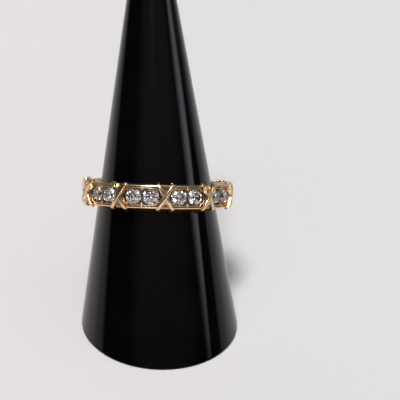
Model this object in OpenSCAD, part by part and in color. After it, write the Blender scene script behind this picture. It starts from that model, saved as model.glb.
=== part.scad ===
// A gold band set all round with pairs of round diamonds in a channel, each pair closed off by a
// raised crossover of two bars. The ring stands on the slanted black cone that displays it.
// Origin: centre of the cone's oval foot, on the surface it stands on. +Z is up.
// The cone leans back toward +Y, and the front of the ring faces -Y.

/* [Ring] */
// Inside diameter of the ring, near US size 7
bore_d = 17.3; // [16.7:0.05:18]
// Width of the band over its two rails
band_w = 3.3; // [3.1:0.05:3.5]
// Height of the rails above the bore
rail_h = 2.1; // [2:0.05:2.2]
// Thickness of one rail
rail_t = 0.45; // [0.43:0.01:0.47]
// Chamfer along the outer edges of the rails
rail_chamfer = 0.12; // [0.05:0.01:0.2]
// Number of channel cells round the ring, with one crossover between each pair of cells
cell_count = 10; // [10:1:10]
// Turn of the ring about its own axis, from -Y toward +X
ring_phase = 0.6; // [-18:0.1:18]
// Tilt of the ring on the cone
ring_tilt = 2.95; // [0:0.05:3.1]
// Where the ring's lowest side lies, from +X toward -Y
low_side = 18; // [-30:1:30]

/* [Diamonds] */
// Girdle diameter of one stone
stone_d = 2.32; // [2.24:0.02:2.34]
// Distance between the two stones of a cell, centre to centre
stone_gap = 2.54; // [2.5:0.01:2.58]
// Depth of the table below the top of the rails
stone_drop = 0.08; // [0.02:0.01:0.12]
// Width of the table as a share of the girdle
table_share = 0.57; // [0.53:0.01:0.62]
// Angle of the crown's main facets
crown_angle = 34.5; // [32:0.5:36]
// Angle of the pavilion's main facets
pavilion_angle = 40.8; // [40:0.1:42]
// Thickness of the girdle
girdle_t = 0.06; // [0.04:0.01:0.08]
// Running gap between a stone and its seat
seat_gap = 0.03; // [0.02:0.005:0.05]

/* [Crossovers] */
// Height of a crossover's middle above the rails
cross_rise = 0.45; // [0.35:0.05:0.5]
// Depth of the upper edge of a bar's tips below the top of the rails
tip_drop = 0.35; // [0.3:0.01:0.36]
// Depth of the underside of a bar's tips below the top of the rails
claw_drop = 0.45; // [0.45:0.01:0.55]
// Length of a crossover across the band, tip to tip
cross_w = 3.86; // [3.8:0.02:3.96]
// Angle of each bar to the ring's axis
cross_angle = 29.5; // [28:0.5:31]
// Width of a bar where the two bars cross
cross_bar_w = 0.6; // [0.56:0.02:0.72]
// Width of a bar at its tips
cross_tip_w = 0.48; // [0.4:0.02:0.54]
// Depth of the notches beside the bars, below the top of the rails
notch_drop = 0.4; // [0.3:0.05:0.5]

/* [Cone] */
// Lean of the cone's axis from upright
lean = 24.3; // [18:0.1:26]
// Half of the cone's apex angle
taper = 9.4; // [9:0.1:9.8]
// Radius of the cone where its axis meets the foot
foot_r = 11.4; // [11.2:0.05:11.6]
// Radius of the rounded tip
tip_r = 3; // [2:0.1:3.4]

/* [Hidden] */
$fn = 96;
stone_count = 2 * cell_count;

gold = [0.86, 0.68, 0.4];
clear = [0.93, 0.94, 0.97, 0.8];
black = [0.03, 0.03, 0.035];

// Radii of the ring, from the bore outward
bore_r = bore_d / 2;
rail_r = bore_r + rail_h;
table_r = rail_r - stone_drop;
stone_r = stone_d / 2;
crown_h = stone_r * (1 - table_share) * tan(crown_angle);
pavilion_h = stone_r * tan(pavilion_angle);
girdle_top_r = table_r - crown_h;
girdle_low_r = girdle_top_r - girdle_t;
culet_r = girdle_low_r - pavilion_h;
culet_gap = 0.12;
ledge_drop = 0.12;
floor_r = culet_r - culet_gap;
ledge_r = girdle_low_r - ledge_drop;
notch_r = rail_r - notch_drop;
cross_r = rail_r + cross_rise;
beyond_r = cross_r + 1;
tip_top_r = rail_r - tip_drop;
claw_low_r = rail_r - claw_drop;
arch_steps = 12;

// Half widths across the band
half_w = band_w / 2;
channel_half = half_w - rail_t;
ledge_half = 0.75;

// Angles round the ring, and the cell's half length along it, with an open crescent at each end
cell_pitch = 360 / cell_count;
stone_turn = atan(stone_gap / 2 / girdle_low_r);
stone_reach = stone_gap / 2 + stone_r;
crescent = 0.28;
cell_half = stone_reach + crescent;
cell_end_x = cell_half - channel_half;
wall_t = 0.38;
cross_tip_x = cross_w / 2 * tan(cross_angle);
half_pitch_x = girdle_top_r * tan(cell_pitch / 2);

// Small gold bead shared by the two stones of a cell, half sunk in each rail
bead_r = 0.36;
bead_in = 1.2;
bead_sink = 0.26;
bead_ring_r = rail_r - bead_sink;

// Divider between the two stones of each cell, hollowed on both sides by their seats
divider_half_w = 0.5;
divider_r = girdle_top_r - seat_gap;

// Height of the cut solids, more than any depth they cut
cut_h = 6;

// Seat of the ring: its lower bore edge rests on the cone, and its tilt moves it sideways
foot_gap = 0.03;
cone_at_edge = bore_r * cos(ring_tilt) - foot_gap;
edge_up = (foot_r - cone_at_edge) / tan(taper);
ring_x = bore_r * sin(ring_tilt) * tan(taper) + half_w * sin(ring_tilt);
ring_up = edge_up + half_w * cos(ring_tilt);

// The oval foot reaches further forward than back from the axis, so the axis stands behind its centre
foot_front = foot_r / (1 - tan(lean) * tan(taper)) / cos(lean);
foot_back = foot_r / (1 + tan(lean) * tan(taper)) / cos(lean);
axis_y = (foot_front - foot_back) / 2;
apex_up = foot_r / tan(taper);
tip_up = apex_up - tip_r / sin(taper);
tip_steps = 12;
below = 12;
room = 80;

function stone_name(i) = str("diamond_", i < 10 ? "0" : "", i);

// A point at a radius, an angle and a height
function polar(r, a, h) = [r * cos(a), r * sin(a), h];

// Height of a main facet's plane above the girdle, at a radius and an angle off the facet's middle
function facet_rise(r, off, slope) = (stone_r - r * cos(off)) * tan(slope);

// Where the ring's angle a points outward: x runs round the ring, y along its axis, z outward
module around_ring(a) {
    rotate([0, 0, a])
        rotate([90, 0, 0])
            children();
}

// The cone's own axis, as +Z at the foot
module on_axis() {
    translate([0, axis_y, 0])
        rotate([-lean, 0, 0])
            children();
}

// The ring's own axis, as +Z at the ring's centre
module on_ring() {
    on_axis()
        rotate([0, 0, -low_side])
            translate([ring_x, 0, ring_up])
                rotate([0, ring_tilt, 0])
                    rotate([0, 0, low_side])
                        children();
}

// Angle of the crossover k, and of the cell that follows it
function cross_turn(k) = ring_phase + k * cell_pitch;
function cell_turn(k) = ring_phase + (k + 0.5) * cell_pitch;

// The whole ring before anything is cut: bore, flat sides, chamfered rails
module blank() {
    rotate_extrude()
        polygon([
            [bore_r, -half_w],
            [rail_r - rail_chamfer, -half_w],
            [rail_r, -half_w + rail_chamfer],
            [rail_r, half_w - rail_chamfer],
            [rail_r - rail_chamfer, half_w],
            [bore_r, half_w],
        ]);
}

// Section of the channel: a narrow floor under the stones and a ledge that carries them
module channel_section() {
    translate([floor_r, -ledge_half])
        square([beyond_r - floor_r, 2 * ledge_half]);
    translate([ledge_r, -half_w])
        square([beyond_r - ledge_r, band_w]);
}

// Outline of one cell, with round ends
module cell_outline() {
    square([2 * cell_end_x, 2 * channel_half], center = true);
    for (side = [-1, 1])
        translate([side * cell_end_x, 0])
            circle(r = channel_half);
}

// Everything the ten cells take out of the ring
module cells() {
    intersection() {
        rotate_extrude()
            channel_section();
        for (k = [0:cell_count - 1])
            around_ring(cell_turn(k))
                translate([0, 0, bore_r])
                    linear_extrude(cut_h)
                        cell_outline();
    }
}

// Notch beside a crossover: the space between the curved end walls of two cells
module notch_outline() {
    difference() {
        square([2 * cross_tip_x, 2 * cross_w], center = true);
        for (side = [-1, 1])
            translate([side * (half_pitch_x - cell_end_x), 0])
                circle(r = channel_half + wall_t);
    }
}

module notches() {
    intersection() {
        rotate_extrude()
            translate([notch_r, -cross_w])
                square([beyond_r - notch_r, 2 * cross_w]);
        for (k = [0:cell_count - 1])
            around_ring(cross_turn(k))
                translate([0, 0, bore_r])
                    linear_extrude(cut_h)
                        notch_outline();
    }
}

// Place of stone i, at the middle of its girdle's lower edge
module at_stone(i) {
    cell = floor((i - 1) / 2);
    side = i % 2 == 1 ? -1 : 1;
    around_ring(cell_turn(cell) + side * stone_turn)
        translate([0, 0, girdle_low_r])
            children();
}

// Seat of one stone: a cone under the girdle and a round well above it
module seat() {
    seat_r = stone_r + seat_gap;
    seat_depth = seat_r * tan(pavilion_angle);
    translate([0, 0, -seat_depth - seat_gap / 2])
        cylinder(r1 = 0, r2 = seat_r, h = seat_depth);
    translate([0, 0, -seat_gap / 2])
        cylinder(r = seat_r, h = cut_h);
}

// One bar of a crossover, wider where it meets the other
module bar_outline() {
    reach = cross_w;
    taper_w = (cross_bar_w - cross_tip_w) * reach / (cross_w / cos(cross_angle) / 2);
    end_w = cross_bar_w - taper_w;
    polygon([
        [-end_w / 2, -reach],
        [end_w / 2, -reach],
        [cross_bar_w / 2, 0],
        [end_w / 2, reach],
        [-end_w / 2, reach],
        [-cross_bar_w / 2, 0],
    ]);
}

// Point of the bars' top line: nearly flat in the middle, turned down at both tips
function arch_point(a) = [
    tip_top_r + (cross_r - tip_top_r) * pow(max(cos(a), 0), 2 / 3),
    sign(a) * cross_w / 2 * pow(abs(sin(a)), 2 / 3)
];

// Section that all the bars share: they are rooted in the band and overhang its sides a little
module arch_section() {
    arch_low_r = floor_r + 0.4;
    top = [for (k = [0:arch_steps]) arch_point(180 * k / arch_steps - 90)];
    polygon(concat(
        [[arch_low_r, -half_w], [claw_low_r, -half_w], [claw_low_r, -cross_w / 2]],
        top,
        [[claw_low_r, cross_w / 2], [claw_low_r, half_w], [arch_low_r, half_w]]
    ));
}

module crossovers() {
    intersection() {
        rotate_extrude()
            arch_section();
        for (k = [0:cell_count - 1])
            around_ring(cross_turn(k))
                translate([0, 0, bore_r])
                    linear_extrude(cut_h)
                        for (way = [-1, 1])
                            rotate(way * cross_angle)
                                bar_outline();
    }
}

// Beads between the two stones of each cell
module beads() {
    for (k = [0:cell_count - 1])
        around_ring(cell_turn(k))
            for (side = [-1, 1])
                translate([0, side * bead_in, bead_ring_r])
                    sphere(r = bead_r);
}

// Blocks between the two stones of each cell
module dividers() {
    for (k = [0:cell_count - 1])
        around_ring(cell_turn(k))
            translate([-divider_half_w, -channel_half - rail_t / 2, floor_r - culet_gap])
                cube([2 * divider_half_w, 2 * channel_half + rail_t, divider_r - floor_r + culet_gap]);
}

// The gold ring, one piece of metal
module band() {
    color(gold)
        on_ring()
            difference() {
                union() {
                    difference() {
                        blank();
                        cells();
                        notches();
                    }
                    crossovers();
                    dividers();
                    beads();
                }
                for (i = [1:stone_count])
                    at_stone(i)
                        seat();
            }
}

// A round brilliant, from culet to table, with its girdle's lower edge at z = 0
module brilliant() {
    mains = [0:7];
    main_turn = 45;
    half_turn = 22.5;
    lower_share = 0.23;
    table_at = table_share * stone_r;
    star_at = (table_at * cos(half_turn) + stone_r) / 2;
    lower_at = lower_share * stone_r;
    table = [for (k = mains) polar(table_at, k * main_turn, girdle_t + crown_h)];
    star = [for (k = mains) polar(star_at, k * main_turn + half_turn,
        girdle_t + facet_rise(star_at, half_turn, crown_angle))];
    upper = [for (k = [0:15]) polar(stone_r, k * half_turn, girdle_t)];
    lower = [for (k = [0:15]) polar(stone_r, k * half_turn, 0)];
    tips = [for (k = mains) polar(lower_at, k * main_turn + half_turn,
        -facet_rise(lower_at, half_turn, pavilion_angle))];
    culet = [[0, 0, -pavilion_h]];
    // First index of each group of points
    s = 8;
    u = 16;
    l = 32;
    t = 48;
    c = 56;
    faces = concat(
        [[for (k = mains) 7 - k]],
        [for (k = mains) [k, (k + 1) % 8, s + k]],
        [for (k = mains) [k, s + k, u + 2 * k, s + (k + 7) % 8]],
        [for (k = mains) [s + k, u + 2 * k + 1, u + 2 * k]],
        [for (k = mains) [s + k, u + (2 * k + 2) % 16, u + 2 * k + 1]],
        [for (k = [0:15]) [u + k, u + (k + 1) % 16, l + (k + 1) % 16, l + k]],
        [for (k = mains) [t + k, l + 2 * k, l + 2 * k + 1]],
        [for (k = mains) [t + k, l + 2 * k + 1, l + (2 * k + 2) % 16]],
        [for (k = mains) [c, t + (k + 7) % 8, l + 2 * k, t + k]]
    );
    polyhedron(points = concat(table, star, upper, lower, tips, culet), faces = faces);
}

module diamond(i) {
    color(clear)
        on_ring()
            at_stone(i)
                brilliant();
}

// The slanted cone with its rounded tip, cut level at the foot
module cone_stand() {
    dome = [for (k = [0:tip_steps]) let (a = taper + (90 - taper) * k / tip_steps)
        [tip_r * cos(a), tip_up + tip_r * sin(a)]];
    color(black)
        intersection() {
            on_axis()
                rotate_extrude()
                    polygon(concat([[0, -below], [foot_r + below * tan(taper), -below]], dome));
            translate([-room / 2, -room / 2, 0])
                cube(room);
        }
}

band();
cone_stand();
for (i = [1:stone_count]) diamond(i);
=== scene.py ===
"""Diamond band on its slanted black cone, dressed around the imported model.

The scene is in metres. The ring's pieces are laid out in millimetres first: flat, with x along the
band, y across it and z outward from the finger. They are then bent round the finger and set on the
cone.
"""

import logging
import math
from dataclasses import dataclass, field
from enum import Enum

import bmesh
import bpy
from mathutils import Matrix, Vector, noise


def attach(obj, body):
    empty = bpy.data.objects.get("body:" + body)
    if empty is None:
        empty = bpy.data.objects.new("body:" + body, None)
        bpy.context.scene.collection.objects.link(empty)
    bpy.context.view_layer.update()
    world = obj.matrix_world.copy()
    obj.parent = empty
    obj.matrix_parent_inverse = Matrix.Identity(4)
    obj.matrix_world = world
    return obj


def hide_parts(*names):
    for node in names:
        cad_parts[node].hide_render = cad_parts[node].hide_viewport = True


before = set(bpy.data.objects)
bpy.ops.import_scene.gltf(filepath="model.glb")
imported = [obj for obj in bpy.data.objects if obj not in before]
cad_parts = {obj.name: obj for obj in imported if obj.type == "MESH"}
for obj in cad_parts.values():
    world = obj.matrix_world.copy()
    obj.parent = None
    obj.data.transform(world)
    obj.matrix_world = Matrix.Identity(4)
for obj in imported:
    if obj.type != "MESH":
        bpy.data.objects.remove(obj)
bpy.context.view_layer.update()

MM = 0.001
BODY = "root"
log = logging.getLogger("diamond_band")

FULL_TURN = 2 * math.pi
ROUND_SEGMENTS = 4
SAME_POINT = 1e-4
SAME_PLANE = 1e-5
NOISE_MIDDLE = 0.5
NOISE_SEED = 7
MIX_SHARE, MIX_FIRST, MIX_SECOND = 0, 6, 7
MIX_RESULT = 2

Pair = tuple[int, int]
Point = tuple[float, float]
Triple = tuple[float, float, float]
Colour = tuple[float, float, float, float]


class Slot(Enum):
    """Material slots of the record."""

    GOLD = "gold"
    BLACK_GLOSS = "black_gloss"
    DIAMOND = "diamond"


def rgb(red: float, green: float, blue: float) -> Colour:
    """Gives an opaque colour."""
    return (red, green, blue, 1.0)


# Sizes and places


@dataclass(frozen=True)
class ConeSizes:
    """Sizes of the cone in millimetres and degrees, as in the CAD source."""

    lean: float = 24.3
    taper: float = 9.4
    foot_r: float = 11.4
    tip_r: float = 3.0

    @property
    def slope(self) -> float:
        """Gives the radius lost per millimetre of axis."""
        return math.tan(math.radians(self.taper))

    @property
    def axis_y(self) -> float:
        """Gives the distance from the foot's centre back to the axis."""
        share = math.tan(math.radians(self.lean)) * self.slope
        reach = self.foot_r / math.cos(math.radians(self.lean))
        return reach * (1 / (1 - share) - 1 / (1 + share)) / 2

    @property
    def tip_up(self) -> float:
        """Gives the height of the rounded tip's centre along the axis."""
        return self.foot_r / self.slope - self.tip_r / math.sin(math.radians(self.taper))

    def axis_matrix(self) -> Matrix:
        """Gives the place of the cone's own axis, as +Z at the foot, in millimetres."""
        turn = Matrix.Rotation(-math.radians(self.lean), 4, "X")
        return Matrix.Translation((0, self.axis_y, 0)) @ turn


@dataclass(frozen=True)
class StoneSizes:
    """Sizes of one stone in millimetres and degrees, as in the CAD source."""

    radius: float = 1.16
    gap: float = 2.54
    table_share: float = 0.57
    crown_angle: float = 34.5
    pavilion_angle: float = 40.8
    girdle: float = 0.06
    drop: float = 0.08

    @property
    def crown(self) -> float:
        """Gives the height of the crown."""
        return self.radius * (1 - self.table_share) * math.tan(math.radians(self.crown_angle))

    @property
    def pavilion(self) -> float:
        """Gives the depth of the pavilion."""
        return self.radius * math.tan(math.radians(self.pavilion_angle))


@dataclass(frozen=True)
class RingSizes:
    """Sizes of the ring in millimetres and degrees, as in the CAD source."""

    stone: StoneSizes = field(default_factory=StoneSizes)
    bore_r: float = 8.65
    rail_r: float = 10.75
    half_w: float = 1.65
    rail_t: float = 0.45
    notch_r: float = 10.35
    cross_r: float = 11.2
    cross_half: float = 1.93
    cross_angle: float = 29.5
    arch_power: int = 3
    tip_r: float = 10.4
    crescent: float = 0.28
    ledge_drop: float = 0.12
    culet_gap: float = 0.12
    cells: int = 10
    phase: float = 0.6
    tilt: float = 2.95
    low_side: float = 18.0
    foot_gap: float = 0.03

    @property
    def pitch_r(self) -> float:
        """Gives the radius at which the flat band keeps its length, at the top of the girdles."""
        return self.rail_r - self.stone.drop - self.stone.crown

    @property
    def ledge_r(self) -> float:
        """Gives the radius of the ledge that carries the stones."""
        return self.pitch_r - self.stone.girdle - self.ledge_drop

    @property
    def floor_r(self) -> float:
        """Gives the radius of the channel's floor, below the culets."""
        return self.pitch_r - self.stone.girdle - self.stone.pavilion - self.culet_gap

    @property
    def channel_half(self) -> float:
        """Gives half of the channel's width."""
        return self.half_w - self.rail_t

    @property
    def cell_end(self) -> float:
        """Gives the distance from a cell's middle to the centre of its round end."""
        return self.stone.gap / 2 + self.stone.radius + self.crescent - self.channel_half

    @property
    def pitch(self) -> float:
        """Gives the length of one cell and crossover along the flat band."""
        return 2 * math.pi * self.pitch_r / self.cells

    def arch(self, across: float) -> float:
        """Gives the radius of the crossovers' top, which turns down at the tips."""
        inside = max(0.0, 1.0 - (abs(across) / self.cross_half) ** self.arch_power)
        return self.tip_r + (self.cross_r - self.tip_r) * inside ** (1 / self.arch_power)


@dataclass(frozen=True)
class Seat:
    """Place of the ring on the cone."""

    cone: ConeSizes = field(default_factory=ConeSizes)
    ring: RingSizes = field(default_factory=RingSizes)

    def ring_place(self) -> Matrix:
        """Finds where the ring's lower bore edge meets the cone.

        Returns:
            The place of the ring's axis, as +Z at the ring's centre, in millimetres.
        """
        ring = self.ring
        tilt = math.radians(ring.tilt)
        edge_r = ring.bore_r * math.cos(tilt) - ring.foot_gap
        side = math.sin(tilt) * (ring.bore_r * self.cone.slope + ring.half_w)
        up = (self.cone.foot_r - edge_r) / self.cone.slope + ring.half_w * math.cos(tilt)
        aside = Matrix.Rotation(-math.radians(ring.low_side), 4, "Z")
        seat = Matrix.Translation((side, 0, up)) @ Matrix.Rotation(tilt, 4, "Y")
        return self.cone.axis_matrix() @ aside @ seat @ aside.inverted()


# Mesh helpers


def round_off(
    bm: bmesh.types.BMesh,
    chosen: list[bmesh.types.BMVert] | list[bmesh.types.BMEdge],
    offset: float,
    affect: str = "EDGES",
) -> None:
    """Rounds edges or corners.

    Args:
        bm: The mesh that holds them.
        chosen: The edges or vertices.
        offset: How far the rounding reaches from each.
        affect: What is chosen, EDGES or VERTICES.
    """
    bmesh.ops.bevel(
        bm,
        geom=chosen,
        offset=offset,
        affect=affect,
        segments=ROUND_SEGMENTS,
        profile=0.5,
        material=-1,
    )


def outline(bm: bmesh.types.BMesh, points: list[Point], corners: dict[int, float]) -> None:
    """Draws a closed outline in the XZ plane and rounds some of its corners.

    Args:
        bm: The mesh to draw in.
        points: The corners as (x, z), in order.
        corners: Rounding offset by the number of the corner.
    """
    verts = [bm.verts.new((x, 0.0, z)) for x, z in points]
    bm.faces.new(verts)
    for offset in sorted(set(corners.values())):
        chosen = [verts[k] for k in corners if corners[k] == offset]
        round_off(bm, chosen, offset, "VERTICES")


def spin_outline(bm: bmesh.types.BMesh, angle: float, steps: int) -> None:
    """Spins the drawn outline about the Z axis, closed on itself for a full turn.

    Args:
        bm: The mesh that holds the outline.
        angle: The turn in radians.
        steps: How many steps it takes.
    """
    full = math.isclose(angle, FULL_TURN)
    if full:
        bmesh.ops.delete(bm, geom=list(bm.faces), context="FACES_ONLY")
    bmesh.ops.spin(
        bm,
        geom=[*bm.faces, *bm.edges, *bm.verts],
        cent=(0, 0, 0),
        axis=(0, 0, 1),
        angle=angle,
        steps=steps,
        use_merge=full,
        use_duplicate=False,
    )
    bmesh.ops.remove_doubles(bm, verts=list(bm.verts), dist=SAME_POINT)
    bmesh.ops.recalc_face_normals(bm, faces=list(bm.faces))


def repeat_round(bm: bmesh.types.BMesh, count: int) -> None:
    """Copies the whole mesh evenly round the Z axis.

    Args:
        bm: The mesh to copy.
        count: How many there are in the end.
    """
    bmesh.ops.spin(
        bm,
        geom=[*bm.faces, *bm.edges, *bm.verts],
        cent=(0, 0, 0),
        axis=(0, 0, 1),
        angle=FULL_TURN * (count - 1) / count,
        steps=count - 1,
        use_merge=False,
        use_duplicate=True,
    )


def turn(bm: bmesh.types.BMesh, angle: float) -> None:
    """Turns the whole mesh about the Z axis by an angle in radians."""
    matrix = Matrix.Rotation(angle, 3, "Z")
    bmesh.ops.rotate(bm, verts=list(bm.verts), cent=(0, 0, 0), matrix=matrix)


def cut_across(bm: bmesh.types.BMesh, axis: Vector, places: list[float]) -> None:
    """Cuts faces square to an axis, so that they can bend.

    Args:
        bm: The mesh to cut.
        axis: Direction square to the cuts.
        places: Distances of the cuts from the origin.
    """
    for place in places:
        geometry = [*bm.verts, *bm.edges, *bm.faces]
        bmesh.ops.bisect_plane(
            bm, geom=geometry, dist=SAME_PLANE, plane_co=axis * place, plane_no=axis
        )


def extrude_down(bm: bmesh.types.BMesh, depth: float) -> None:
    """Gives a sheet of faces its depth.

    Args:
        bm: The mesh, which holds the sheet alone.
        depth: How far it reaches down, towards the finger.
    """
    made = bmesh.ops.extrude_face_region(bm, geom=list(bm.faces))["geom"]
    lower = [vert for vert in made if isinstance(vert, bmesh.types.BMVert)]
    bmesh.ops.translate(bm, verts=lower, vec=(0, 0, -depth))


def sheet(columns: int, rows: int) -> bmesh.types.BMesh:
    """Starts a mesh with a flat square sheet, from -1 to 1 each way.

    Args:
        columns: Faces along x.
        rows: Faces along y.

    Returns:
        The mesh.
    """
    bm = bmesh.new()
    bmesh.ops.create_grid(bm, x_segments=columns, y_segments=rows, size=1.0)
    return bm


def spread(low: float, high: float, count: int) -> list[float]:
    """Gives count even places from low to high, both ends included."""
    return [low + (high - low) * k / (count - 1) for k in range(count)]


def join_into(target: bmesh.types.BMesh, part: bmesh.types.BMesh) -> None:
    """Adds a part to a larger mesh.

    Args:
        target: The larger mesh.
        part: The part, which is freed.
    """
    mesh = bpy.data.meshes.new("part")
    part.to_mesh(mesh)
    part.free()
    target.from_mesh(mesh)
    bpy.data.meshes.remove(mesh)


def hand_finish(bm: bmesh.types.BMesh, depth: float, grain: float) -> None:
    """Moves the surface a little, as hand polishing leaves it. NOISE_SEED fixes the pattern.

    Args:
        bm: The mesh to move, in millimetres.
        depth: The largest move.
        grain: Distance between one rise and the next.
    """
    for vert in bm.verts:
        vert.co += noise.noise_vector(vert.co / grain) * depth


@dataclass(frozen=True)
class Workbench:
    """Turns finished meshes into pieces of the scene."""

    place: Matrix
    slot: Slot
    node: str
    material: bpy.types.Material
    crease: float = 40.0

    def finish(self, bm: bmesh.types.BMesh, name: str) -> None:
        """Places a mesh, smooths it and links it as a piece that stands for its CAD node.

        Args:
            bm: The mesh in millimetres, which is freed.
            name: The piece's name.
        """
        bmesh.ops.transform(bm, verts=list(bm.verts), matrix=Matrix.Scale(MM, 4) @ self.place)
        bm.normal_update()
        limit = math.radians(self.crease)
        for face in bm.faces:
            face.smooth = True
        for edge in bm.edges:
            edge.smooth = edge.calc_face_angle(math.pi) < limit
        mesh = bpy.data.meshes.new(name)
        bm.to_mesh(mesh)
        bm.free()
        mesh.materials.append(self.material)
        piece = bpy.data.objects.new(name, mesh)
        bpy.context.scene.collection.objects.link(piece)
        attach(piece, BODY)
        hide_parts(self.node)
        log.info("%s: %d faces", name, len(mesh.polygons))


# Finishes


@dataclass(frozen=True)
class NodeDesk:
    """Adds nodes to one tree and joins them."""

    tree: bpy.types.NodeTree

    def add(
        self, kind: str, values: dict[str | int, object] | None = None, **settings: object
    ) -> bpy.types.Node:
        """Adds a node.

        Args:
            kind: The node's type name.
            values: Input values or source sockets, by the input's name or number.
            settings: The node's own properties.

        Returns:
            The new node.
        """
        node = self.tree.nodes.new(kind)
        for name, value in settings.items():
            setattr(node, name, value)
        for name, value in (values or {}).items():
            if isinstance(value, bpy.types.NodeSocket):
                self.tree.links.new(value, node.inputs[name])
            else:
                node.inputs[name].default_value = value
        return node

    def math(self, operation: str, *values: object) -> bpy.types.NodeSocket:
        """Adds a Math node and gives its result."""
        return self.add("ShaderNodeMath", dict(enumerate(values)), operation=operation).outputs[0]

    def ramp(
        self, value: bpy.types.NodeSocket, low: float, high: float, start: float, end: float
    ) -> bpy.types.NodeSocket:
        """Maps a value smoothly from low and high to start and end."""
        values = {"Value": value, "From Min": low, "From Max": high, "To Min": start, "To Max": end}
        return self.add("ShaderNodeMapRange", values, interpolation_type="SMOOTHSTEP").outputs[0]

    def blend(
        self, share: bpy.types.NodeSocket, first: object, second: object
    ) -> bpy.types.NodeSocket:
        """Mixes two colours by a share and gives the result."""
        values = {MIX_SHARE: share, MIX_FIRST: first, MIX_SECOND: second}
        return self.add("ShaderNodeMix", values, data_type="RGBA").outputs[MIX_RESULT]

    def noise(
        self, point: bpy.types.NodeSocket, scale: object, detail: float
    ) -> bpy.types.NodeSocket:
        """Adds a soft random pattern and gives its value."""
        values = {"Vector": point, "Scale": scale, "Detail": detail}
        return self.add("ShaderNodeTexNoise", values).outputs[0]


@dataclass(frozen=True)
class FineWear:
    """Scratches and haze that polished metal and gloss plastic share."""

    name: str = "Fine wear"
    line_turns: Point = (0.5, 1.9)
    line_lift: float = 0.4
    line_stretch: float = 0.08
    line_grain: float = 3.0
    line_width: float = 0.012
    line_haze: float = 0.3
    line_detail: float = 1.0
    cloud_low: float = 0.35
    cloud_high: float = 0.7
    cloud_haze: float = 0.7
    cloud_detail: float = 3.0
    dust_grain: float = 7.0
    dust_share: float = 0.25
    dust_detail: float = 2.0

    def build(self) -> bpy.types.NodeTree:
        """Builds the node group.

        Returns:
            The group, with its height and haze as outputs.
        """
        tree = bpy.data.node_groups.new(self.name, "ShaderNodeTree")
        wanted = {
            "Vector": "NodeSocketVector",
            "Grain": "NodeSocketFloat",
            "Scratches": "NodeSocketFloat",
        }
        for label, kind in wanted.items():
            tree.interface.new_socket(name=label, in_out="INPUT", socket_type=kind)
        for label in ("Height", "Haze"):
            tree.interface.new_socket(name=label, in_out="OUTPUT", socket_type="NodeSocketFloat")
        desk = NodeDesk(tree)
        given = desk.add("NodeGroupInput").outputs
        lines = [self._lines(desk, given, angle) for angle in self.line_turns]
        marks = desk.math("MAXIMUM", *lines)
        depth = desk.math("MULTIPLY", marks, given["Scratches"])
        cloud = desk.noise(given["Vector"], given["Grain"], self.cloud_detail)
        fine = desk.math("MULTIPLY", given["Grain"], self.dust_grain)
        dust = desk.noise(given["Vector"], fine, self.dust_detail)
        grain = desk.math("MULTIPLY_ADD", dust, self.dust_share, cloud)
        height = desk.math("SUBTRACT", grain, depth)
        fog = desk.ramp(cloud, self.cloud_low, self.cloud_high, 0.0, self.cloud_haze)
        haze = desk.math("MULTIPLY_ADD", marks, self.line_haze, fog)
        desk.add("NodeGroupOutput", {"Height": height, "Haze": haze})
        return tree

    def _lines(
        self, desk: NodeDesk, given: bpy.types.NodeOutputs, angle: float
    ) -> bpy.types.NodeSocket:
        """Draws thin long lines that run one way over the surface.

        Args:
            desk: The group's desk.
            given: What the group is given.
            angle: The lines' own turn in radians.

        Returns:
            A mask, 1 on the lines.
        """
        values = {
            "Vector": given["Vector"],
            "Rotation": (angle, self.line_lift, angle * 2),
            "Scale": (1.0, self.line_stretch, 1.0),
        }
        stretched = desk.add("ShaderNodeMapping", values).outputs[0]
        scale = desk.math("MULTIPLY", given["Grain"], self.line_grain)
        texture = desk.noise(stretched, scale, self.line_detail)
        off = desk.math("ABSOLUTE", desk.math("SUBTRACT", texture, NOISE_MIDDLE))
        return desk.ramp(off, 0.0, self.line_width, 1.0, 0.0)


@dataclass(frozen=True)
class WornSurface:
    """How one finish takes the shared wear: grain per metre, scratches, roughness and bump."""

    grain: float
    scratches: float
    shine: float
    dull: float
    bump: float
    bump_depth: float = 0.02 * MM

    def join(
        self,
        desk: NodeDesk,
        shader: bpy.types.Node,
        wear: bpy.types.NodeTree,
        point: bpy.types.NodeSocket,
    ) -> bpy.types.NodeSocket:
        """Places the wear group, which roughens and bumps the surface.

        Args:
            desk: The material's desk.
            shader: The material's shader.
            wear: The shared wear group.
            point: Where on the surface, in metres.

        Returns:
            The haze, which grows where the surface is dull.
        """
        marks = desk.add("ShaderNodeGroup", node_tree=wear)
        desk.tree.links.new(point, marks.inputs["Vector"])
        marks.inputs["Grain"].default_value = self.grain
        marks.inputs["Scratches"].default_value = self.scratches
        haze = marks.outputs["Haze"]
        rough = desk.math("MULTIPLY_ADD", haze, self.dull - self.shine, self.shine)
        desk.tree.links.new(rough, shader.inputs["Roughness"])
        values = {"Strength": self.bump, "Distance": self.bump_depth}
        values["Height"] = marks.outputs["Height"]
        bump = desk.add("ShaderNodeBump", values)
        desk.tree.links.new(bump.outputs[0], shader.inputs["Normal"])
        return haze


def new_material(name: str) -> tuple[bpy.types.Material, NodeDesk, bpy.types.Node]:
    """Makes a material with nodes.

    Args:
        name: The material's name.

    Returns:
        The material, its desk and its main shader.
    """
    material = bpy.data.materials.new(name)
    material.use_nodes = True
    desk = NodeDesk(material.node_tree)
    return material, desk, material.node_tree.nodes["Principled BSDF"]


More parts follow.
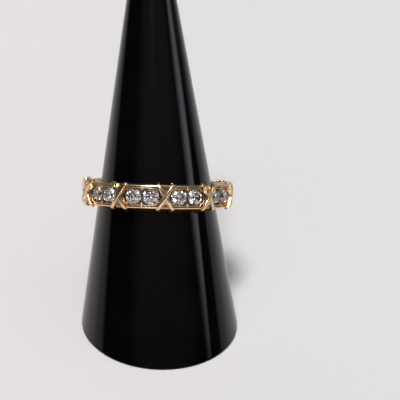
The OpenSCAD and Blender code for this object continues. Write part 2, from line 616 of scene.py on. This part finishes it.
@dataclass(frozen=True)
class GoldFinish:
    """Polished yellow gold with painted shade: browner far into the setting, and duller there."""

    name: str = "gold"
    polished: Colour = rgb(0.91, 0.65, 0.375)
    # Colour of the painted shade inside the setting
    shade_colour: Colour = rgb(0.36, 0.2, 0.1)
    edge: Colour = rgb(0.9, 0.75, 0.56)
    # Radii from the ring's axis: above the first the gold keeps its own colour, and painted shade
    # grows down to the second
    unshaded_r: float = 10.5
    shaded_r: float = 9.7
    # The bore and the sides are kept free of the painted shade
    bore_r: float = 8.95
    bore_soft: float = 0.15
    side_w: float = 1.5
    side_soft: float = 0.1
    surface: WornSurface = WornSurface(
        grain=1400.0, scratches=0.6, shine=0.19, dull=0.26, bump=0.12
    )

    def build(self, place: Matrix, wear: bpy.types.NodeTree) -> bpy.types.Material:
        """Builds the material.

        Args:
            place: Place of the ring's axis, in millimetres.
            wear: The shared wear group.

        Returns:
            The gold.
        """
        material, desk, shader = new_material(self.name)
        spot, swing, _ = place.decompose()
        point = desk.add("ShaderNodeTexCoord").outputs["Object"]
        values = {"Vector": point, "Location": spot * MM, "Rotation": swing.to_euler()}
        local = desk.add("ShaderNodeMapping", values, vector_type="TEXTURE").outputs[0]
        plane = {0: local, 1: (1.0, 1.0, 0.0)}
        flat = desk.add("ShaderNodeVectorMath", plane, operation="MULTIPLY").outputs[0]
        radius = desk.add("ShaderNodeVectorMath", {0: flat}, operation="LENGTH").outputs["Value"]
        across = desk.math("ABSOLUTE", desk.add("ShaderNodeSeparateXYZ", {0: local}).outputs["Z"])
        # Painted shade: the colour darkens towards the inside of the setting, but not on the bore
        # or the sides
        outward = desk.ramp(radius, self.shaded_r * MM, self.unshaded_r * MM, 0.0, 1.0)
        bore = desk.ramp(radius, (self.bore_r - self.bore_soft) * MM, self.bore_r * MM, 1.0, 0.0)
        side = desk.ramp(across, (self.side_w - self.side_soft) * MM, self.side_w * MM, 0.0, 1.0)
        height = desk.math("MAXIMUM", outward, desk.math("MAXIMUM", bore, side))
        colour = desk.blend(height, self.shade_colour, self.polished)
        desk.tree.links.new(colour, shader.inputs["Base Color"])
        self.surface.join(desk, shader, wear, local)
        shader.inputs["Metallic"].default_value = 1.0
        shader.inputs["Specular Tint"].default_value = self.edge
        return material


@dataclass(frozen=True)
class BlackGlossFinish:
    """Glossy black acrylic with a trace of smudges."""

    black: Colour = rgb(0.0006, 0.0005, 0.0006)
    dusty: Colour = rgb(0.0016, 0.0015, 0.0016)
    surface: WornSurface = WornSurface(
        grain=160.0, scratches=0.12, shine=0.02, dull=0.06, bump=0.02
    )
    ior: float = 1.38

    def build(self, wear: bpy.types.NodeTree) -> bpy.types.Material:
        """Builds the material.

        Args:
            wear: The shared wear group.

        Returns:
            The black acrylic.
        """
        material, desk, shader = new_material("black_gloss")
        point = desk.add("ShaderNodeTexCoord").outputs["Object"]
        haze = self.surface.join(desk, shader, wear, point)
        desk.tree.links.new(desk.blend(haze, self.black, self.dusty), shader.inputs["Base Color"])
        shader.inputs["IOR"].default_value = self.ior
        return material


@dataclass(frozen=True)
class DiamondFinish:
    """Clear diamond with a faint difference of tint between stones."""

    cool: Colour = rgb(0.96, 0.89, 0.95)
    warm: Colour = rgb(0.97, 0.92, 0.87)
    grain: float = 700.0
    detail: float = 1.0
    cool_below: float = 0.35
    warm_above: float = 0.65
    ior: float = 2.417

    def build(self) -> bpy.types.Material:
        """Builds the material.

        Returns:
            The diamond.
        """
        material, desk, shader = new_material("diamond")
        point = desk.add("ShaderNodeTexCoord").outputs["Object"]
        cloud = desk.noise(point, self.grain, self.detail)
        share = desk.ramp(cloud, self.cool_below, self.warm_above, 0.0, 1.0)
        desk.tree.links.new(desk.blend(share, self.cool, self.warm), shader.inputs["Base Color"])
        shader.inputs["Roughness"].default_value = 0.0
        shader.inputs["IOR"].default_value = self.ior
        shader.inputs["Transmission Weight"].default_value = 1.0
        return material


# The ring


@dataclass(frozen=True)
class Band:
    """The gold band in millimetres, made of eight pieces."""

    sizes: RingSizes
    bench: Workbench
    # Bench whose gold is darkened with painted shade, for the pieces inside the setting
    shaded_bench: Workbench
    hoop_steps: int = 240
    bore_flat: float = 1.3
    bore_bulge: float = 0.03
    bore_flare: float = 0.1
    side_round: float = 0.12
    notch_round: float = 0.06
    ledge_in: float = 1.0
    pit_half: float = 0.75
    sink: float = 0.2
    floor_sink: float = 0.1
    hub_share: float = 0.995
    hub_grid: Pair = (8, 24)
    rim_in: float = 1.15
    rim_out: float = 1.28
    rim_r: float = 10.64
    rim_dip: float = 0.3
    rim_rounds: Point = (0.05, 0.03)
    rim_steps: int = 48
    rim_cuts: int = 13
    ridge_in: float = 1.44
    ridge_reach: float = 2.35
    ridge_slope: float = 0.09
    ridge_rounds: Point = (0.05, 0.1)
    ridge_steps: int = 20
    bar_w: float = 0.57
    tip_w: float = 0.47
    bar_depth: float = 1.0
    bar_corner: float = 0.2
    bar_round: float = 0.19
    bar_sharp: float = 80.0
    bar_cut_reach: float = 0.88
    bar_cuts: int = 25
    tip_cuts: tuple[float, ...] = (0.91, 0.94, 0.96, 0.975, 0.99)
    claw_floor: float = 10.3
    claw_from: float = 1.45
    bar_step: float = 0.05
    web_waist: float = 0.42
    web_flare: float = 0.81
    web_reach: float = 0.95
    web_sink: float = 0.06
    web_depth: float = 0.8
    web_grid: Pair = (12, 20)
    divider_half: float = 0.5
    divider_gap: float = 0.04
    divider_top: float = 10.3
    divider_grid: Pair = (6, 24)
    bead_r: float = 0.25
    bead_shape: Triple = (1.05, 1.15, 0.55)
    bead_sink: float = 0.13
    shared_bead_across: float = 1.17
    corner_bead_past: float = 0.58
    corner_bead_across: float = 0.94
    corner_bead_share: float = 0.5
    polish: float = 0.007
    polish_grain: float = 1.3

    def build(self) -> None:
        """Builds every gold piece."""
        self._hoop()
        self._hubs()
        self._rails()
        self._rims()
        self._crossovers()
        self._dividers()
        self._beads()

    def _bend(self, bm: bmesh.types.BMesh) -> None:
        """Bends a flat mesh round the finger.

        Args:
            bm: The mesh, with x along the band, y across it and z outward.
        """
        for vert in bm.verts:
            angle = vert.co.x / self.sizes.pitch_r
            radius, across = vert.co.z, vert.co.y
            vert.co = Vector((radius * math.sin(angle), -radius * math.cos(angle), across))

    def _finish(self, bm: bmesh.types.BMesh, name: str, at_cells: bool, bench: Workbench) -> None:
        """Repeats a bent part round the ring and finishes it.

        Args:
            bm: The part of one cell or crossover, bent round the finger.
            name: The piece's name.
            at_cells: Whether it belongs in the middle of the cells, not at the crossovers.
            bench: The bench that gives it its gold.
        """
        bmesh.ops.recalc_face_normals(bm, faces=list(bm.faces))
        half_pitch = math.pi / self.sizes.cells if at_cells else 0.0
        turn(bm, math.radians(self.sizes.phase) + half_pitch)
        repeat_round(bm, self.sizes.cells)
        hand_finish(bm, self.polish, self.polish_grain)
        bench.finish(bm, name)

    def _hoop(self) -> None:
        """Spins the hoop with its bore, its sides, and the ledges and floor under the stones."""
        s = self.sizes
        slope = math.tan(math.radians(s.stone.pavilion_angle))
        half = [
            (s.bore_r, 0.0),
            (s.bore_r + self.bore_bulge, self.bore_flat),
            (s.bore_r + self.bore_flare, s.half_w),
            (s.notch_r, s.half_w),
            (s.notch_r, s.channel_half),
            (s.ledge_r, s.channel_half),
            (s.ledge_r, self.ledge_in),
            (s.ledge_r - (self.ledge_in - self.pit_half) * slope, self.pit_half),
            (s.floor_r, self.pit_half),
            (s.floor_r, 0.0),
        ]
        other = [(radius, -across) for radius, across in reversed(half[1:-1])]
        count = len(half) + len(other)
        rounds = {2: self.side_round, 3: self.notch_round}
        rounds.update({count - corner: offset for corner, offset in rounds.items()})
        bm = bmesh.new()
        outline(bm, half + other, rounds)
        spin_outline(bm, FULL_TURN, self.hoop_steps)
        hand_finish(bm, self.polish, self.polish_grain)
        self.shaded_bench.finish(bm, "band_hoop")

    def _hubs(self) -> None:
        """Fills the band between the round ends of neighbouring cells, up to the notch floors."""
        s = self.sizes
        centre = s.pitch / 2 - s.cell_end
        wall = (self.rim_in + self.rim_out) / 2
        half = wall * self.hub_share
        bm = sheet(*self.hub_grid)
        for vert in bm.verts:
            across = vert.co.y * half
            reach = centre - math.sqrt(max(wall**2 - across**2, 0.0))
            vert.co = Vector((vert.co.x * reach, across, s.notch_r - self.sink))
        extrude_down(bm, s.notch_r - s.floor_r + self.floor_sink)
        self._bend(bm)
        self._finish(bm, "band_hubs", False, self.shaded_bench)

    def _rails(self) -> None:
        """Spins the outer ridge of both rails from one crossover to the next."""
        s = self.sizes
        base = s.notch_r - self.sink
        angle = 2 * self.ridge_reach / s.pitch_r
        whole = bmesh.new()
        for side in (-1, 1):
            points = [
                (base, side * self.ridge_in),
                (s.rail_r, side * self.ridge_in),
                (s.rail_r - self.ridge_slope, side * s.half_w),
                (base, side * s.half_w),
            ]
            bm = bmesh.new()
            outline(bm, points, dict(enumerate(self.ridge_rounds, 1)))
            turn(bm, -math.pi / 2 - angle / 2)
            spin_outline(bm, angle, self.ridge_steps)
            join_into(whole, bm)
        self._finish(whole, "band_rails", True, self.bench)

    def _rims(self) -> None:
        """Makes the thin rim round each cell, which dips at the cell's round ends."""
        s = self.sizes
        base = s.floor_r - self.sink
        points = [
            (self.rim_in, base),
            (self.rim_out, base),
            (self.rim_out, self.rim_r),
            (self.rim_in, self.rim_r),
        ]
        bm = bmesh.new()
        outline(bm, points, dict(enumerate(self.rim_rounds, 2)))
        turn(bm, math.pi / self.rim_steps)
        spin_outline(bm, FULL_TURN, self.rim_steps)
        for vert in bm.verts:
            vert.co.x += math.copysign(s.cell_end, vert.co.x)
        cut_across(bm, Vector((1, 0, 0)), spread(-s.cell_end, s.cell_end, self.rim_cuts))
        for vert in bm.verts:
            past = max(abs(vert.co.x) - s.cell_end, 0.0) / self.rim_out
            if vert.co.z > s.notch_r:
                vert.co.z -= self.rim_dip * past**2
        self._bend(bm)
        self._finish(bm, "band_rims", True, self.shaded_bench)

    def _bar(self, way: int) -> bmesh.types.BMesh:
        """Makes one bar of a crossover.

        Args:
            way: 1 for the bar that passes on top, -1 for the one below it.

        Returns:
            The bar on the flat band, arched over the hub.
        """
        s = self.sizes
        slant = math.radians(s.cross_angle)
        half = s.cross_half / math.cos(slant)
        depth = self.bar_depth
        bm = bmesh.new()
        bmesh.ops.create_cube(bm, size=1.0)
        bmesh.ops.scale(bm, verts=list(bm.verts), vec=(self.bar_w, 2 * half, depth))
        upright = [e for e in bm.edges if abs(e.verts[0].co.z - e.verts[1].co.z) > depth / 2]
        round_off(bm, upright, self.bar_corner)
        level = [e for e in bm.edges if abs(e.verts[0].co.z - e.verts[1].co.z) < depth / 2]
        sharp = math.radians(self.bar_sharp)
        round_off(bm, [e for e in level if e.calc_face_angle() > sharp], self.bar_round)
        reach = self.bar_cut_reach * half
        ends = [end * share * half for end in (-1, 1) for share in self.tip_cuts]
        cut_across(bm, Vector((0, 1, 0)), spread(-reach, reach, self.bar_cuts) + ends)
        narrow = 1 - self.tip_w / self.bar_w
        for vert in bm.verts:
            vert.co.x *= 1 - narrow * abs(vert.co.y) / half
            vert.co.y = max(-half, min(half, vert.co.y))
        turn(bm, -way * slant)
        step = 0.0 if way > 0 else self.bar_step
        for vert in bm.verts:
            top = s.arch(vert.co.y) - step
            inner = top - depth / 2 + vert.co.z
            outer = self.claw_floor + (top - self.claw_floor) * (vert.co.z / depth + 0.5)
            share = (abs(vert.co.y) - self.claw_from) / (s.half_w - self.claw_from)
            vert.co.z = inner + (outer - inner) * min(1.0, max(0.0, share))
        self._bend(bm)
        return bm

    def _web(self) -> bmesh.types.BMesh:
        """Makes the hourglass plate in the middle of a crossover, a little below its bars.

        Returns:
            The plate on the flat band, arched over the hub.
        """
        s = self.sizes
        slope = math.tan(math.radians(s.cross_angle))
        bm = sheet(*self.web_grid)
        for vert in bm.verts:
            across = vert.co.y * self.web_reach
            half = math.hypot(self.web_waist, self.web_flare * across)
            vert.co.x *= half
            vert.co.y = across + vert.co.y * slope * abs(vert.co.x)
        extrude_down(bm, self.web_depth)
        for vert in bm.verts:
            vert.co.z += s.arch(vert.co.y) - self.web_sink
        self._bend(bm)
        return bm

    def _crossovers(self) -> None:
        """Makes the two arched bars of each crossover and the plate between them."""
        whole = bmesh.new()
        for way in (1, -1):
            join_into(whole, self._bar(way))
        self._finish(whole, "band_crossovers", False, self.bench)
        self._finish(self._web(), "band_webs", False, self.shaded_bench)

    def _dividers(self) -> None:
        """Fills the hollow-sided space between the two stones of each cell, up to their girdles."""
        s = self.sizes
        seat_r = s.stone.radius + self.divider_gap
        bm = sheet(*self.divider_grid)
        for vert in bm.verts:
            across = vert.co.y * self.rim_in
            half = s.stone.gap / 2 - math.sqrt(max(seat_r**2 - across**2, 0.0))
            vert.co = Vector((vert.co.x * min(half, self.divider_half), across, self.divider_top))
        extrude_down(bm, self.divider_top - s.floor_r + self.floor_sink)
        self._bend(bm)
        self._finish(bm, "band_dividers", True, self.shaded_bench)

    def _beads(self) -> None:
        """Makes the beads that hold the stones: a shared one on each rail and small corner ones."""
        past = self.sizes.cell_end + self.corner_bead_past
        spots = [(0.0, side * self.shared_bead_across, 1.0) for side in (-1, 1)]
        spots += [
            (end * past, side * self.corner_bead_across, self.corner_bead_share)
            for end in (-1, 1)
            for side in (-1, 1)
        ]
        whole = bmesh.new()
        for along, across, share in spots:
            bm = bmesh.new()
            bmesh.ops.create_icosphere(bm, subdivisions=3, radius=self.bead_r * share)
            bmesh.ops.scale(bm, verts=list(bm.verts), vec=self.bead_shape)
            place = (along, across, self.rim_r - self.bead_sink)
            bmesh.ops.translate(bm, verts=list(bm.verts), vec=place)
            self._bend(bm)
            join_into(whole, bm)
        self._finish(whole, "band_beads", True, self.shaded_bench)


@dataclass(frozen=True)
class Stones:
    """The twenty cut stones, which stay as the CAD model's own solids."""

    material: bpy.types.Material
    prefix: str = "diamond_"

    def dress(self) -> None:
        """Gives every stone its finish."""
        for name, node in sorted(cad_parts.items()):
            if name.startswith(self.prefix):
                node.data.materials.clear()
                node.data.materials.append(self.material)
                log.info("%s dressed", name)


@dataclass(frozen=True)
class Cone:
    """The slanted glossy cone that the ring stands on, in millimetres."""

    sizes: ConeSizes
    bench: Workbench
    edge: float = 0.25
    tip_skin: float = 0.01
    tip_steps: int = 17
    hold: float = 0.1
    below: float = 12.0
    steps: int = 256

    def build(self) -> None:
        """Spins the cone about its own axis and cuts its foot level."""
        s = self.sizes
        bm = bmesh.new()
        verts = [bm.verts.new((x, 0.0, z)) for x, z in self._profile()]
        for first, second in zip(verts, verts[1:]):
            bm.edges.new((first, second))
        spin_outline(bm, FULL_TURN, self.steps)
        bmesh.ops.transform(bm, verts=list(bm.verts), matrix=s.axis_matrix())
        cut = bmesh.ops.bisect_plane(
            bm,
            geom=[*bm.verts, *bm.edges, *bm.faces],
            dist=SAME_PLANE,
            plane_co=(0, 0, 0),
            plane_no=(0, 0, 1),
            clear_inner=True,
        )
        rim = [e for e in cut["geom_cut"] if isinstance(e, bmesh.types.BMEdge)]
        bmesh.ops.contextual_create(bm, geom=rim)
        bmesh.ops.recalc_face_normals(bm, faces=list(bm.faces))
        rim = [e for e in bm.edges if max(abs(v.co.z) for v in e.verts) < SAME_POINT]
        round_off(bm, rim, self.edge)
        cut_across(bm, Vector((0, 0, 1)), [self.edge + self.hold])
        self.bench.finish(bm, "cone_body")

    def _profile(self) -> list[Point]:
        """Works out the side's profile, which starts below the foot and ends in the round tip.

        Returns:
            Radius and height at each point, up the axis.
        """
        s = self.sizes
        tip_r = s.tip_r - self.tip_skin
        angles = spread(math.radians(s.taper), math.pi / 2, self.tip_steps)
        tip = [(tip_r * math.cos(a), s.tip_up + tip_r * math.sin(a)) for a in angles[:-1]]
        low_r, low_up = tip[0]
        points = [(s.foot_r + self.below * s.slope, -self.below)]
        points += [(low_r + self.hold * s.slope, low_up - self.hold)]
        return points + tip + [(0.0, s.tip_up + tip_r)]


# The studio


@dataclass(frozen=True)
class PhotoCamera:
    """Camera at the photograph's place, fitted in millimetres. Its reach is in metres."""

    spot: Triple = (-18.263, -159.903, 102.795)
    right: Triple = (0.99115, -0.12825, 0.03435)
    up: Triple = (0.02829, 0.45681, 0.88912)
    lens: float = 116.46
    sensor: float = 36.0
    nearest: float = 0.005
    farthest: float = 50.0

    def build(self) -> None:
        """Makes the camera and sets it as the scene's own."""
        right, up = Vector(self.right).normalized(), Vector(self.up).normalized()
        back = right.cross(up).normalized()
        data = bpy.data.cameras.new("photo_camera")
        data.lens, data.sensor_width = self.lens, self.sensor
        data.clip_start, data.clip_end = self.nearest, self.farthest
        camera = bpy.data.objects.new("photo_camera", data)
        turned = Matrix((right, up, back)).transposed().to_4x4()
        camera.matrix_world = Matrix.Translation(Vector(self.spot) * MM) @ turned
        bpy.context.scene.collection.objects.link(camera)
        bpy.context.scene.camera = camera


@dataclass(frozen=True)
class Softbox:
    """A soft four-sided light far away, in degrees. Azimuth 0 is over -Y and 90 over +X.

    Its edges fade over a share of its half width and half height, and its slant leans its sides.
    """

    azimuth: float
    elevation: float
    half_width: float
    half_height: float
    strength: float
    tint: Colour = rgb(1.0, 1.0, 1.0)
    soft_sides: float = 0.25
    soft_ends: float = 0.25
    slant: float = 0.0
    front: float = 0.02
    least_depth: float = 0.001

    def shade(self, desk: NodeDesk, direction: bpy.types.NodeSocket) -> bpy.types.NodeSocket:
        """Gives the light that the softbox sends from a direction.

        Args:
            desk: The world's desk.
            direction: Direction that the light comes from.

        Returns:
            A colour socket.
        """
        turn_to, rise = math.radians(self.azimuth), math.radians(self.elevation)
        side = Vector((math.cos(turn_to), math.sin(turn_to), 0.0))
        ahead_to = Vector((side.y, -side.x, 0.0))
        out = ahead_to * math.cos(rise) + Vector((0.0, 0.0, math.sin(rise)))
        ahead = self._dot(desk, direction, out)
        depth = desk.math("MAXIMUM", ahead, self.least_depth)
        along = desk.math("DIVIDE", self._dot(desk, direction, out.cross(side)), depth)
        across = desk.math("DIVIDE", self._dot(desk, direction, side), depth)
        across = desk.math("MULTIPLY_ADD", along, -self.slant, across)
        mask = desk.ramp(ahead, 0.0, self.front, 0.0, 1.0)
        spans = (
            (across, self.half_width, self.soft_sides),
            (along, self.half_height, self.soft_ends),
        )
        for share, angle, soft in spans:
            reach = math.tan(math.radians(angle))
            low, high = reach * (1 - soft), reach * (1 + soft)
            fade = desk.ramp(desk.math("ABSOLUTE", share), low, high, 1.0, 0.0)
            mask = desk.math("MULTIPLY", mask, fade)
        level = desk.math("MULTIPLY", mask, self.strength)
        tinted = {0: self.tint[:3], "Scale": level}
        return desk.add("ShaderNodeVectorMath", tinted, operation="SCALE").outputs[0]

    @staticmethod
    def _dot(desk: NodeDesk, direction: bpy.types.NodeSocket, axis: Vector) -> bpy.types.NodeSocket:
        """Gives the dot product of a direction and an axis."""
        node = desk.add("ShaderNodeVectorMath", {0: direction, 1: axis}, operation="DOT_PRODUCT")
        return node.outputs["Value"]


@dataclass(frozen=True)
class Studio:
    """Pale floor, dim room with a glow along the horizon, and soft lights.

    Lengths are in metres and angles in degrees.
    """

    floor_half: float = 3.0
    # Painted light: x places in metres over which the floor fades from its lighter left to its
    # darker right
    floor_light_fade: Point = (-0.035, 0.025)
    # Painted reflection: in reflections the floor darkens to this share of its colour at grazing
    # angles, below the angle that follows, in degrees
    far_share: float = 0.6
    near_angle: float = 12.0
    glow: float = 0.42
    glow_top: float = 4.5
    # Painted light: the floor's left side is lighter than its right
    lit_floor_left: Colour = rgb(0.83, 0.803, 0.803)
    dim_floor_right: Colour = rgb(0.793, 0.79, 0.792)
    backdrop: Colour = rgb(0.77, 0.745, 0.74)
    room: Colour = rgb(0.025, 0.024, 0.024)
    lights: tuple[Softbox, ...] = (
        # Key light, which casts the shadow
        Softbox(
            azimuth=-23.5,
            elevation=66.3,
            half_width=6.2,
            half_height=10.0,
            strength=34.2,
            tint=rgb(1.0, 0.985, 0.98),
        ),
        # Weak fills from above, from behind and from low in front
        Softbox(azimuth=30.0, elevation=84.0, half_width=30.0, half_height=30.0, strength=0.28),
        Softbox(azimuth=180.0, elevation=30.0, half_width=45.0, half_height=20.0, strength=0.25),
        Softbox(azimuth=0.0, elevation=6.0, half_width=42.0, half_height=7.0, strength=1.1),
        # Window that the cone's right side mirrors, and the cool glow beside it
        Softbox(
            azimuth=86.5,
            elevation=21.8,
            half_width=9.2,
            half_height=8.4,
            strength=2.05,
            tint=rgb(0.88, 0.96, 1.08),
            soft_sides=1.18,
            soft_ends=0.16,
            slant=0.5,
        ),
        Softbox(
            azimuth=126.0,
            elevation=14.0,
            half_width=22.0,
            half_height=12.0,
            strength=0.13,
            tint=rgb(0.85, 0.95, 1.1),
        ),
        # Warm fill from high in front
        Softbox(
            azimuth=8.0,
            elevation=56.0,
            half_width=45.0,
            half_height=22.0,
            strength=0.2,
            tint=rgb(1.0, 0.8, 0.78),
            soft_sides=0.7,
            soft_ends=0.7,
        ),
    )

    def build(self) -> None:
        """Makes the floor and the world's light."""
        self._floor()
        self._world()

    def _floor(self) -> None:
        """Lays the pale floor, painted lighter on the left and dimmer far off in reflections."""
        material, desk, shader = new_material("pale_floor")
        point = desk.add("ShaderNodeTexCoord").outputs["Object"]
        along = desk.add("ShaderNodeSeparateXYZ", {0: point}).outputs["X"]
        # Painted light: lighter on the left side of the floor, darker on the right
        share = desk.ramp(along, *self.floor_light_fade, 0.0, 1.0)
        pale = desk.blend(share, self.lit_floor_left, self.dim_floor_right)
        # Painted reflection: for rays other than the camera's, the floor's colour is darker at
        # grazing angles
        level = desk.add("ShaderNodeLayerWeight", {"Blend": 0.5}).outputs["Facing"]
        dim = desk.ramp(level, 1 - math.sin(math.radians(self.near_angle)), 1.0, 0.0, 1.0)
        far = rgb(*(part * self.far_share for part in self.dim_floor_right[:3]))
        mirrored = desk.blend(dim, pale, far)
        seen = desk.add("ShaderNodeLightPath").outputs["Is Camera Ray"]
        desk.tree.links.new(desk.blend(seen, mirrored, pale), shader.inputs["Base Color"])
        shader.inputs["Roughness"].default_value = 1.0
        shader.inputs["Specular IOR Level"].default_value = 0.0
        bm = sheet(1, 1)
        bmesh.ops.scale(bm, verts=list(bm.verts), vec=(self.floor_half, self.floor_half, 1.0))
        mesh = bpy.data.meshes.new("pale_floor")
        bm.to_mesh(mesh)
        bm.free()
        mesh.materials.append(material)
        floor = bpy.data.objects.new("pale_floor", mesh)
        bpy.context.scene.collection.objects.link(floor)

    def _world(self) -> None:
        """Lights the scene from far softboxes, with a plain backdrop for the camera."""
        world = bpy.data.worlds.new("studio")
        world.use_nodes = True
        bpy.context.scene.world = world
        desk = NodeDesk(world.node_tree)
        direction = desk.add("ShaderNodeTexCoord").outputs["Generated"]
        rise = desk.add("ShaderNodeSeparateXYZ", {0: direction}).outputs["Z"]
        total = desk.ramp(rise, 0.0, math.sin(math.radians(self.glow_top)), self.glow, 0.0)
        for shade in [self.room[:3], *(light.shade(desk, direction) for light in self.lights)]:
            both = {0: total, 1: shade}
            total = desk.add("ShaderNodeVectorMath", both, operation="ADD").outputs[0]
        seen = desk.add("ShaderNodeLightPath").outputs["Is Camera Ray"]
        colour = desk.blend(seen, total, self.backdrop)
        desk.tree.links.new(colour, desk.tree.nodes["Background"].inputs["Color"])


def set_colours() -> None:
    """Keeps colours plain, as a product photograph has them."""
    view = bpy.context.scene.view_settings
    view.view_transform = "Standard"
    view.look = "None"
    view.exposure = 0.0
    view.gamma = 1.0


def shaded_recess_gold() -> GoldFinish:
    """Gives a duller copy of the gold for the setting's inside, painted darker and browner as
    shade.
    """
    return GoldFinish(
        name="gold_shaded_recess",
        # Both colours are darker than the outer gold's: painted shade inside the setting
        polished=rgb(0.64, 0.465, 0.31),
        shade_colour=rgb(0.06, 0.035, 0.025),
        unshaded_r=10.66,
        shaded_r=10.05,
        surface=WornSurface(grain=1400.0, scratches=0.6, shine=0.28, dull=0.4, bump=0.12),
    )


def main() -> None:
    """Builds the ring, its stones, the cone and the studio."""
    logging.basicConfig(level=logging.INFO, format="%(message)s")
    noise.seed_set(NOISE_SEED)
    seat = Seat()
    PhotoCamera().build()
    wear = FineWear().build()
    place = seat.ring_place()
    # The second gold is a copy darkened with painted shade, for the pieces inside the setting
    golds = [finish.build(place, wear) for finish in (GoldFinish(), shaded_recess_gold())]
    black = BlackGlossFinish().build(wear)
    benches = [Workbench(place, Slot.GOLD, "band", gold) for gold in golds]
    Band(seat.ring, *benches).build()
    Stones(DiamondFinish().build()).dress()
    Cone(seat.cone, Workbench(Matrix.Identity(4), Slot.BLACK_GLOSS, "cone_stand", black)).build()
    Studio().build()
    set_colours()


if __name__ == "__main__":
    main()
